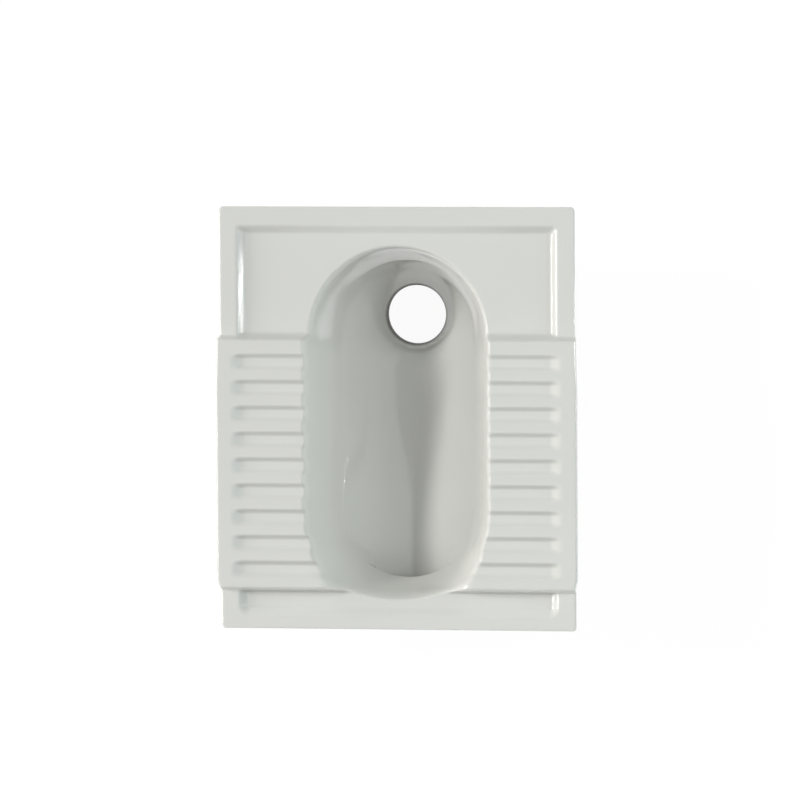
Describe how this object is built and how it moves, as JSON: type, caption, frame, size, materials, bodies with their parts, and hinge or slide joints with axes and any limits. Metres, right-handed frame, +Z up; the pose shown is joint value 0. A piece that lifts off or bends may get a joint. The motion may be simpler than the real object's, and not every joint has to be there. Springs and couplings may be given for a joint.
{
  "type": "squat toilet",
  "caption": "Rectangular squat toilet pan in pale glazed china, with raised ribbed footrests beside a long round-ended bowl, an open drain spigot and a flush inlet below.",
  "frame": {"origin": "on the floor, under the middle of the deck", "axes": "+Z up, +Y along the deck towards the drain end, +X to the right when the drain end is away from the viewer"},
  "size_m": [0.43, 0.5, 0.2],
  "materials": {
    "glazed_china": "glossy pale grey-white glaze, bare and matt under the deck",
    "black_rubber": "moulded, matt",
    "stainless_steel": "rolled and pressed"
  },
  "bodies": {
    "root": {"deck": "glazed_china", "bowl": "glazed_china", "flush_inlet": "glazed_china", "inlet_cup": "black_rubber", "clip_band": "stainless_steel", "clip_housing": "stainless_steel", "clip_screw": "stainless_steel", "outlet_seal": "black_rubber"}
  },
  "joints": []
}
